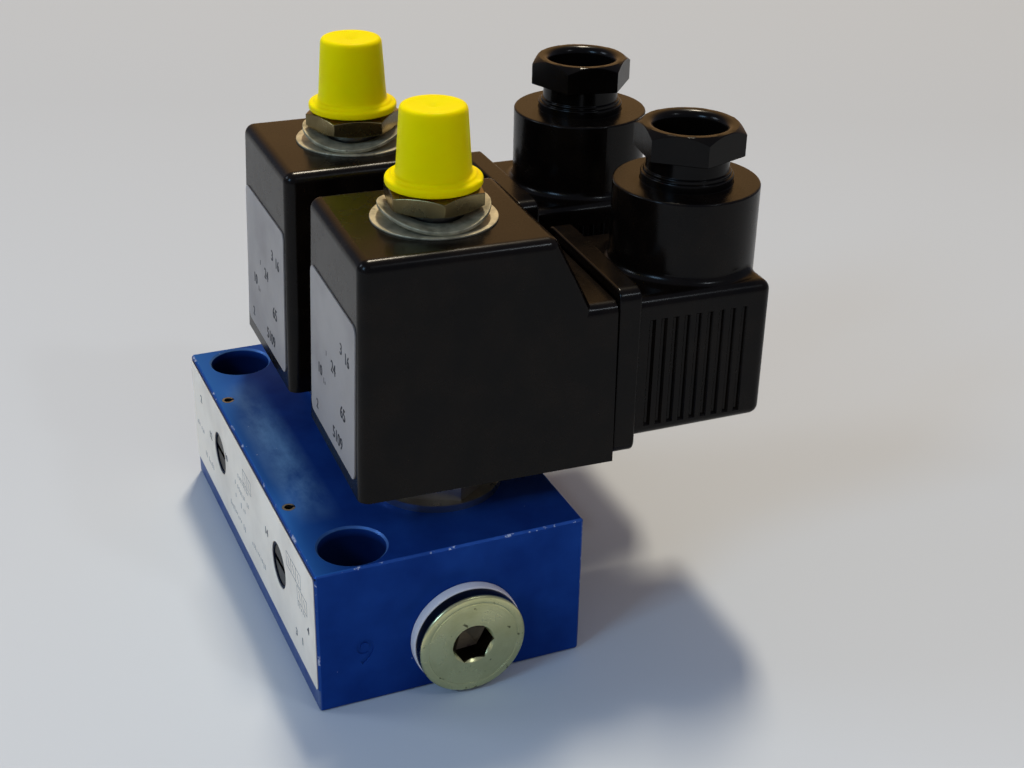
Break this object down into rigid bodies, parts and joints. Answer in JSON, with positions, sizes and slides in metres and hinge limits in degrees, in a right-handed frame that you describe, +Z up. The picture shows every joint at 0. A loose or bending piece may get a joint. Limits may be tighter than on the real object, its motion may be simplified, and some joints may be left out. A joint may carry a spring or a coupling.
{
  "type": "pneumatic solenoid valve",
  "caption": "Direct-acting solenoid valve pair on a drilled block, with moulded coils, square cable plugs with glands, manual overrides and capped exhaust ports.",
  "frame": {"origin": "middle of the block's footprint, on the flat face that it is mounted by", "axes": "+Z up out of the block towards the coils, +X along the gallery towards the blanking plug, -Y towards the labelled face"},
  "size_m": [0.0841, 0.0817, 0.0894],
  "materials": {
    "anodised_block": "blue anodised aluminium, satin",
    "label_film": "printed off-white film",
    "zinc_yellow_steel": "turned steel, yellow zinc plated",
    "white_nylon": "smooth white nylon",
    "brass": "turned brass, dull",
    "black_steel": "blackened steel, oily",
    "black_rubber": "soft black nitrile",
    "spring_steel": "plain spring steel",
    "nickel_brass": "nickel plated brass, satin",
    "stainless_steel": "turned stainless steel",
    "black_moulding": "semi-gloss black glass-filled nylon",
    "plated_steel": "zinc plated pressed steel",
    "natural_nylon": "natural nylon",
    "copper_wire": "enamelled copper wire",
    "tinned_brass": "tinned brass",
    "yellow_polythene": "translucent yellow polythene",
    "grey_moulding": "dark grey nylon",
    "black_nylon_nut": "semi-gloss black nylon"
  },
  "bodies": {
    "valve_body": {"valve_block": "anodised_block", "block_label": "label_film", "blanking_plug": "zinc_yellow_steel", "plug_sealing_ring": "white_nylon", "roll_pin_right": "spring_steel", "roll_pin_left": "spring_steel", "armature_tube_right": "nickel_brass", "tube_o_ring_right": "black_rubber", "fixed_core_right": "stainless_steel", "armature_spring_right": "spring_steel", "coil_housing_right": "black_moulding", "coil_yoke_right": "plated_steel", "coil_bobbin_right": "natural_nylon", "coil_winding_right": "copper_wire", "coil_terminals_right": "tinned_brass", "coil_label_right": "label_film", "flat_washer_right": "plated_steel", "spring_washer_right": "spring_steel", "coil_nut_right": "brass", "plug_gasket_right": "black_rubber", "plug_housing_right": "black_moulding", "plug_terminal_block_right": "grey_moulding", "plug_contacts_right": "tinned_brass", "plug_screw_right": "plated_steel", "gland_seal_right": "black_rubber", "gland_washer_right": "natural_nylon", "gland_nut_right": "black_nylon_nut", "armature_tube_left": "nickel_brass", "tube_o_ring_left": "black_rubber", "fixed_core_left": "stainless_steel", "armature_spring_left": "spring_steel", "coil_housing_left": "black_moulding", "coil_yoke_left": "plated_steel", "coil_bobbin_left": "natural_nylon", "coil_winding_left": "copper_wire", "coil_terminals_left": "tinned_brass", "coil_label_left": "label_film", "flat_washer_left": "plated_steel", "spring_washer_left": "spring_steel", "coil_nut_left": "brass", "plug_gasket_left": "black_rubber", "plug_housing_left": "black_moulding", "plug_terminal_block_left": "grey_moulding", "plug_contacts_left": "tinned_brass", "plug_screw_left": "plated_steel", "gland_seal_left": "black_rubber", "gland_washer_left": "natural_nylon", "gland_nut_left": "black_nylon_nut"},
    "armature_right": {"armature_right": "stainless_steel", "armature_seals_right": "black_rubber"},
    "armature_left": {"armature_left": "stainless_steel", "armature_seals_left": "black_rubber"},
    "override_right": {"override_screw_right": "black_steel", "override_o_ring_right": "black_rubber"},
    "override_left": {"override_screw_left": "black_steel", "override_o_ring_left": "black_rubber"},
    "cap_right": {"protective_cap_right": "yellow_polythene"},
    "cap_left": {"protective_cap_left": "yellow_polythene"}
  },
  "joints": [
    {"name": "armature_lift_right", "type": "slide", "parent": "valve_body", "child": "armature_right", "axis": [0, 0, 1], "range_m": [0, 0.0012], "stiffness_N_per_m": 500, "springref_m": -0.004, "deforming": ["armature_spring_right"]},
    {"name": "override_turn_right", "type": "hinge", "parent": "valve_body", "child": "override_right", "pos_m": [0.0195, 0, 0.0148], "axis": [0, 1, 0], "range_deg": [0, 90]},
    {"name": "cap_pull_right", "type": "slide", "parent": "valve_body", "child": "cap_right", "axis": [0, 0, 1], "range_m": [0, 0.012]},
    {"name": "armature_lift_left", "type": "slide", "parent": "valve_body", "child": "armature_left", "axis": [0, 0, 1], "range_m": [0, 0.0012], "stiffness_N_per_m": 500, "springref_m": -0.004, "deforming": ["armature_spring_left"]},
    {"name": "override_turn_left", "type": "hinge", "parent": "valve_body", "child": "override_left", "pos_m": [-0.0195, 0, 0.0148], "axis": [0, 1, 0], "range_deg": [0, 90]},
    {"name": "cap_pull_left", "type": "slide", "parent": "valve_body", "child": "cap_left", "axis": [0, 0, 1], "range_m": [0, 0.012]}
  ]
}
